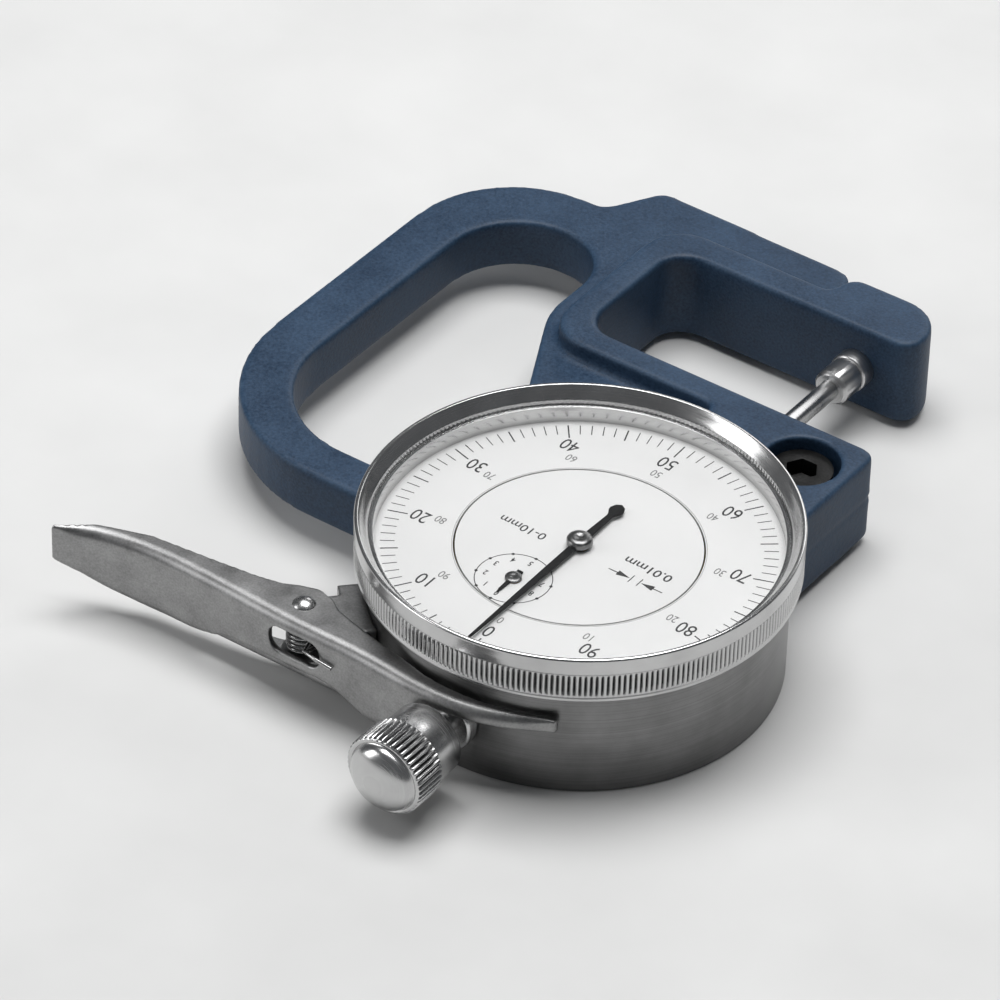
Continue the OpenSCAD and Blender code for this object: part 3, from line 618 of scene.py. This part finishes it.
# ---- lifting cap ----
cap_low, cap_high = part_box("lifting_cap")
CAP_R = (cap_high.x - cap_low.x) / 2 / MM
CAP_Y, CAP_END = cap_low.y / MM, cap_high.y / MM
HEAD, RIM = CAP_Y + 5, CAP_Y + 10
DOME_R = CAP_R - 0.95
DOME_ANGLES = [math.radians(k * 9) for k in range(1, 10)]
cap_profile = (
    [(0, CAP_Y + 5), (1.42, CAP_Y + 5), (1.42, CAP_Y), (CAP_R - 1.1, CAP_Y)]
    + arc_points(CAP_R - 1.1, CAP_Y + 0.45, 0.45, -80, -5, 4)
    + [(CAP_R - 0.62, CAP_Y + 2.2), (CAP_R - 0.56, CAP_Y + 3.8)]
    + [(CAP_R - 0.62, HEAD - 0.35), (CAP_R - 0.6, HEAD - 0.15), (CAP_R - 0.1, HEAD + 0.02)]
    + [(CAP_R, HEAD + 0.3), (CAP_R, HEAD + 1.7), (CAP_R, HEAD + 3.3), (CAP_R, RIM - 0.45)]
    + [(CAP_R - 0.12, RIM - 0.2), (CAP_R - 0.35, RIM - 0.05), (CAP_R - 0.62, RIM)]
    + [(CAP_R - 0.8, RIM - 0.12), (DOME_R, RIM)]
    + [(DOME_R * math.cos(a), RIM + (CAP_END - RIM) * math.sin(a)) for a in DOME_ANGLES]
    + [(0, CAP_END)]
)
cap_knurl = knurl(CAP_RIDGES, HEAD - 0.05, RIM - 0.1, CAP_RIDGE_DEPTH, 0.4)
cap = lathe("cap_head", cap_profile, CAP_RIDGES * 16, AXIS_Y, cap_knurl, 48)
add_object("cap_head", cap, "cap_chrome", "plunger", ["lifting_cap"])


# ---- dial markings ----
DIAL_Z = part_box("dial_scale_ring")[1].z / MM
INK_TOP, INK_BOTTOM = DIAL_Z + 0.015, DIAL_Z - 0.005
# The scale's turn to the left of the pointer, in degrees
SCALE_TURN = 2.4


def polar(r, clock):
    """A point on the dial, with the angle clockwise from 12 o'clock in degrees."""
    a = math.radians(90 - clock)
    return Vector((r * math.cos(a), r * math.sin(a)))


def mark(a, b, width):
    """A printed line from a to b."""
    along = (b - a).normalized()
    side = Vector((-along.y, along.x)) * width / 2
    return plate([a - side, b - side, b + side, a + side], INK_BOTTOM, INK_TOP)


def disc(centre, r, n):
    """A printed dot."""
    turns = [2 * math.pi * k / n for k in range(n)]
    return plate([(centre[0] + r * math.cos(t), centre[1] + r * math.sin(t)) for t in turns], INK_BOTTOM, INK_TOP)


def circle_line(centre, r, width, n):
    """A printed circle."""
    inner, outer = r - width / 2, r + width / 2
    quads = []
    for k in range(n):
        c0, c1 = 360 * k / n, 360 * (k + 1) / n
        corners = [Vector(centre) + polar(q, c) for q, c in ((outer, c0), (outer, c1), (inner, c1), (inner, c0))]
        quads.append(plate(corners, INK_BOTTOM, INK_TOP))
    return joined(quads)


def lettering(text, centre, height, narrow=0.8, weight=0.0, width=None):
    """Numbers or plain words as a thin mesh, centred on a point of the dial, in mm. width makes them that wide."""
    curve = bpy.data.curves.new("text", "FONT")
    curve.body = text
    curve.align_x = "CENTER"
    curve.align_y = "CENTER"
    curve.size = height * 1.42
    curve.resolution_u = 3
    curve.offset = weight
    curve.extrude = (INK_TOP - INK_BOTTOM) / 2
    holder = linked("text", curve)
    mesh = evaluated(holder)
    bpy.data.objects.remove(holder)
    xs = [v.co.x for v in mesh.vertices]
    ys = [v.co.y for v in mesh.vertices]
    mid = Vector(((min(xs) + max(xs)) / 2, (min(ys) + max(ys)) / 2))
    if width is not None:
        narrow = width / (max(xs) - min(xs))
    points = []
    for v in mesh.vertices:
        x, y = (v.co.x - mid.x) * narrow, v.co.y - mid.y
        points.append((centre[0] + x, centre[1] + y, (INK_TOP + INK_BOTTOM) / 2 + v.co.z))
    faces = [tuple(f.vertices) for f in mesh.polygons]
    bpy.data.meshes.remove(mesh)
    return points, faces


def printed(name, parts, material, body):
    points, faces = joined(parts)
    mesh = bpy.data.meshes.new(name)
    mesh.from_pydata([(x * MM, y * MM, z * MM) for x, y, z in points], [], faces)
    return add_object(name, mesh, material, body)


scale = []
for k in range(100):
    clock = k * 3.6 - SCALE_TURN
    inner = 22.9 if k % 10 == 0 else 23.3 if k % 5 == 0 else 23.7
    scale.append(mark(polar(inner, clock), polar(25.6, clock), 0.19 if k % 5 == 0 else 0.13))
printed("scale_ticks", scale, "dial_ink", "bezel")
numbers = [lettering(str(10 * k), polar(21.2, 36 * k - SCALE_TURN), 2.3) for k in range(10)]
printed("scale_numbers", numbers, "dial_ink", "bezel")
reverse = [lettering(str((10 - k) % 10 * 10), polar(18.5, 36 * k - SCALE_TURN), 1.35) for k in range(10)]
printed("scale_reverse_numbers", reverse, "dial_line", "bezel")

centre_print = [circle_line(COUNTER / MM, 5.0, 0.12, 96)]
for k in range(10):
    centre_print.append(disc(COUNTER / MM + polar(5.0, 36 * k), 0.22, 14))
    centre_print.append(lettering(str(k), COUNTER / MM + polar(3.75, 36 * k), 0.95, weight=0.02))
for side in (-1, 1):
    tip = Vector((-9.75 + side * 0.65, 1.5))
    centre_print.append(mark(tip + Vector((0, -0.8)), tip + Vector((0, 0.8)), 0.14))
    start = tip + Vector((side * 0.2, 0))
    head = [start, start + Vector((side * 1.9, 0.5)), start + Vector((side * 1.9, -0.5))]
    centre_print.append(plate(head if side > 0 else head[::-1], INK_BOTTOM, INK_TOP))
    centre_print.append(mark(start + Vector((side * 1.7, 0)), start + Vector((side * 3.3, 0)), 0.16))
centre_print.append(lettering("0.01mm", (-9.75, -1.35), 1.45, width=7.1, weight=0.02))
centre_print.append(lettering("0-10mm", (8.0, 1.3), 1.4, width=7.0, weight=0.01))
printed("centre_printing", centre_print, "dial_ink", "frame")
printed("centre_circle", [circle_line((0, 0), 16.4, 0.09, 200)], "dial_faint", "bezel")


# ---- hands ----
def hand(name, outline, z0, z1, edge, body, replaces):
    """A stamped hand with softened edges, from its outline in mm."""
    points, faces = plate(outline, z0, z1)
    mesh = mesh_from(name, np.array(points) * MM, faces, 40)
    work = bmesh.new()
    work.from_mesh(mesh)
    middle = (z0 + z1) / 2 * MM
    rims = [e for e in work.edges if all(v.co.z > middle for v in e.verts)]
    bmesh.ops.bevel(work, geom=rims, offset=edge * MM, segments=2, affect="EDGES", clamp_overlap=True)
    work.to_mesh(mesh)
    work.free()
    smooth(mesh, 40)
    return add_object(name, mesh, "hand_black", body, replaces)


P_LOW, P_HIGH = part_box("pointer")
hand_z = P_LOW.z / MM + 0.4
tip_y = P_HIGH.y / MM
# The right side of the hand, up to its tip and down to its tail
blade = [(0.62, 0), (0.52, 8), (0.34, 16), (0.16, 24.2)]
tail = [(0.42, -6.8), (0.5, -7.1), (0.95, -7.9), (1.02, -8.4), (0.7, -9.2)]
right = blade[::-1] + tail
outline = [(-x, y) for x, y in blade] + [(0, tip_y)] + right + [(0, -9.6)] + [(-x, y) for x, y in tail[::-1]]
hand("pointer_blade", outline[::-1], hand_z + 0.02, hand_z + 0.28, 0.06, "hand_shaft", ["pointer"])


def hub(name, centre, r, z0, z1, body):
    """A turned hub with a collar, a rounded top and a shallow dimple."""
    shares = [
        (0, 0), (0.62, 0), (0.62, 0.22), (0.9, 0.26), (1, 0.34), (1, 0.72), (0.94, 0.84),
        (0.78, 0.95), (0.55, 1), (0.36, 1), (0.3, 0.95), (0.12, 0.91), (0, 0.9),
    ]
    mesh = lathe(name, [(r * a, z0 + (z1 - z0) * b) for a, b in shares], 64, angle=40)
    mesh.transform(Matrix.Translation((centre[0] * MM, centre[1] * MM, 0)))
    return add_object(name, mesh, "hub_grey", body)


hub("pointer_hub", (0, 0), 1.7, P_LOW.z / MM, P_HIGH.z / MM, "hand_shaft")
counter_low, counter_top = (corner.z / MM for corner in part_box("counter_hand"))
cx, cy = COUNTER / MM
short = [
    (0.34, 0), (0.2, 3.0), (0, 3.8), (-0.2, 3.0), (-0.34, 0), (-0.3, -1.0),
    (-0.42, -1.25), (-0.42, -1.6), (0.42, -1.6), (0.42, -1.25), (0.3, -1.0),
]
short = [(x + cx, y + cy) for x, y in short]
hand("counter_blade", short, counter_low + 0.1, counter_low + 0.3, 0.04, "counter_shaft", ["counter_hand"])
hub("counter_hub", (cx, cy), 1.1, counter_low, counter_top, "counter_shaft")


# ---- springs ----
def spring(name, path, r, body, node):
    """A wire through points in mm, as a round-section mesh."""
    curve = bpy.data.curves.new(name, "CURVE")
    curve.dimensions = "3D"
    line = curve.splines.new("POLY")
    line.points.add(len(path) - 1)
    for point, p in zip(line.points, path):
        point.co = (p[0] * MM, p[1] * MM, p[2] * MM, 1)
    curve.bevel_depth = r * MM
    curve.bevel_resolution = 3
    curve.use_fill_caps = True
    holder = linked(name, curve)
    mesh = evaluated(holder)
    bpy.data.objects.remove(holder)
    smooth(mesh, 60)
    return add_object(name, mesh, "spring_steel", body, [node])


RETURN_X, RETURN_LOW, RETURN_LENGTH, RETURN_R, RETURN_TURNS = 8.6, -15.6, 20, 0.9, 16
turns = np.linspace(0, 2 * math.pi * RETURN_TURNS, RETURN_TURNS * 28)
rise = RETURN_LENGTH / turns[-1]
coil = [
    (RETURN_X + RETURN_R * math.cos(t), RETURN_LOW + rise * t, AXIS_HEIGHT + RETURN_R * math.sin(t))
    for t in turns
]
lower_end = [(8.6, -16.7, AXIS_HEIGHT), (9.1, -16.2, AXIS_HEIGHT)]
upper_end = [(9.1, 4.9, AXIS_HEIGHT), (8.6, 5.35, AXIS_HEIGHT)]
spring("return_coil", lower_end + coil + upper_end, 0.14, "frame", "return_spring")

PIVOT, TORSION_R, TORSION_TURNS = (24.8, 25.6), 2.1, 5
start = math.radians(200)
turns = np.linspace(0, 2 * math.pi * TORSION_TURNS, TORSION_TURNS * 36)
TORSION_LOW, rise = 5.8, 3.4 / turns[-1]
wound = [
    (PIVOT[0] + TORSION_R * math.cos(start + t), PIVOT[1] + TORSION_R * math.sin(start + t), TORSION_LOW + rise * t)
    for t in turns
]
arm = [(21.4, 30.1, 9.3), (19.2, 30.5, 9.2), (16.8, 30.45, 8.9)]
spring("lever_coil", [(22.2, 21.2, TORSION_LOW)] + wound + arm, 0.28, "thumb_lever", "lever_spring")

# ---- CAD nodes that keep their shape ----
# Each node's material and the width of its edge bevel in mm
SHOWN = {
    "anvil": ("ground_steel", 0.12), "contact_point": ("ground_steel", 0.12),
    "spindle": ("ground_steel", 0.05), "stem": ("ground_steel", 0.12), "clamp_screw": ("black_steel", 0.2),
    "loop_screw": ("steel", 0.15), "case": ("satin_chrome", 0.3), "upper_bush": ("bezel_chrome", 0.15),
    "back_cover": ("satin_chrome", 0.15), "back_cover_screws": ("black_steel", 0.06),
    "bezel_spring_ring": ("spring_steel", 0.0), "reflector_ring": ("bezel_chrome", 0.04),
    "dial_scale_ring": ("dial_white", 0.0), "dial_centre_plate": ("dial_white", 0.04),
    "dial_foot_nuts": ("brass", 0.08), "guide_pin": ("steel", 0.08), "spring_pin": ("steel", 0.08),
    "guide_rail": ("brass", 0.1), "rear_plate": ("brass", 0.08), "rear_plate_screws": ("steel", 0.1),
    "pillars": ("brass", 0.1), "front_plate": ("brass", 0.08), "front_plate_screws": ("steel", 0.08),
    "jewels": ("ruby", 0.06), "pinion_cock": ("brass", 0.1), "cock_screws": ("steel", 0.06),
    "rack_pinion": ("steel", 0.0), "drive_gear": ("brass", 0.0), "centre_pinion": ("steel", 0.0),
    "take_up_gear": ("brass", 0.0), "hairspring": ("spring_steel", 0.0), "hairspring_stud": ("brass", 0.08),
    "spring_post": ("steel", 0.1), "bracket_screws": ("steel", 0.1), "lever_pin": ("steel", 0.06),
}
for node, (material, edge) in SHOWN.items():
    part = NODES[node]
    part.data.materials.clear()
    part.data.materials.append(MAT[material])
    for name in ("custom_normal", "sharp_face"):
        if name in part.data.attributes:
            part.data.attributes.remove(part.data.attributes[name])
    part.data.shade_smooth()
    weld = part.modifiers.new("weld", "WELD")
    weld.merge_threshold = 2e-6
    if edge:
        bevel = part.modifiers.new("bevel", "BEVEL")
        bevel.width = edge * MM
        bevel.segments = 2
        bevel.limit_method = "ANGLE"
        bevel.angle_limit = math.radians(40)
        bevel.use_clamp_overlap = True
    split = part.modifiers.new("split", "EDGE_SPLIT")
    split.split_angle = math.radians(38)

# ---- stage, lights and camera ----
floor_mesh = bpy.data.meshes.new("floor")
FLOOR_HALF, FLOOR_Z = 3, -0.0002
corners = [(x * FLOOR_HALF, y * FLOOR_HALF, FLOOR_Z) for x, y in ((-1, -1), (1, -1), (1, 1), (-1, 1))]
floor_mesh.from_pydata(corners, [], [(0, 1, 2, 3)])
floor = linked("floor", floor_mesh)
made, tree, bsdf = shader("floor")
cloudy = ramp(tree, noise(tree, coordinates(tree), 40), [(0.3, (0.62, 0.62, 0.615)), (0.7, (0.66, 0.66, 0.655))])
tree.links.new(cloudy, bsdf.inputs["Base Color"])
bsdf.inputs["Roughness"].default_value = 0.75
floor_mesh.materials.append(made)

world = bpy.data.worlds.new("studio")
bpy.context.scene.world = world
world.use_nodes = True
background = world.node_tree.nodes["Background"]
background.inputs[0].default_value = (0.93, 0.96, 1.0, 1)
background.inputs[1].default_value = 0.12


def lamp(name, place, target, size, watts):
    data = bpy.data.lights.new(name, "AREA")
    data.shape = "RECTANGLE"
    data.size, data.size_y = size
    data.energy = watts
    made = linked(name, data)
    made.location = place
    made.rotation_euler = (Vector(target) - Vector(place)).to_track_quat("-Z", "Y").to_euler()


middle = (cad_low + cad_high) / 2
lamp("overhead", (0.05, -0.1, 0.62), middle, (0.5, 0.4), 4.6)
lamp("left", (0.55, 0.45, 0.32), middle, (0.3, 0.45), 1.6)
lamp("back", (0.1, -0.75, 0.35), middle, (0.6, 0.25), 1.3)

CAMERA_PLACE = Vector((-0.3374, 0.5083, 0.4977))
CAMERA_AIM = Vector((0.0205, -0.0115, 0.0085))
CAMERA_ROLL = math.radians(1.8)
camera = linked("camera", bpy.data.cameras.new("camera"))
camera.location = CAMERA_PLACE
camera.rotation_mode = "QUATERNION"
towards = (CAMERA_AIM - CAMERA_PLACE).to_track_quat("-Z", "Y")
camera.rotation_quaternion = towards @ Quaternion((0, 0, 1), CAMERA_ROLL)
camera.data.lens = 218
camera.data.sensor_width = 36
camera.data.clip_start, camera.data.clip_end = 0.05, 20
bpy.context.scene.camera = camera
bpy.context.scene.view_settings.view_transform = "Standard"
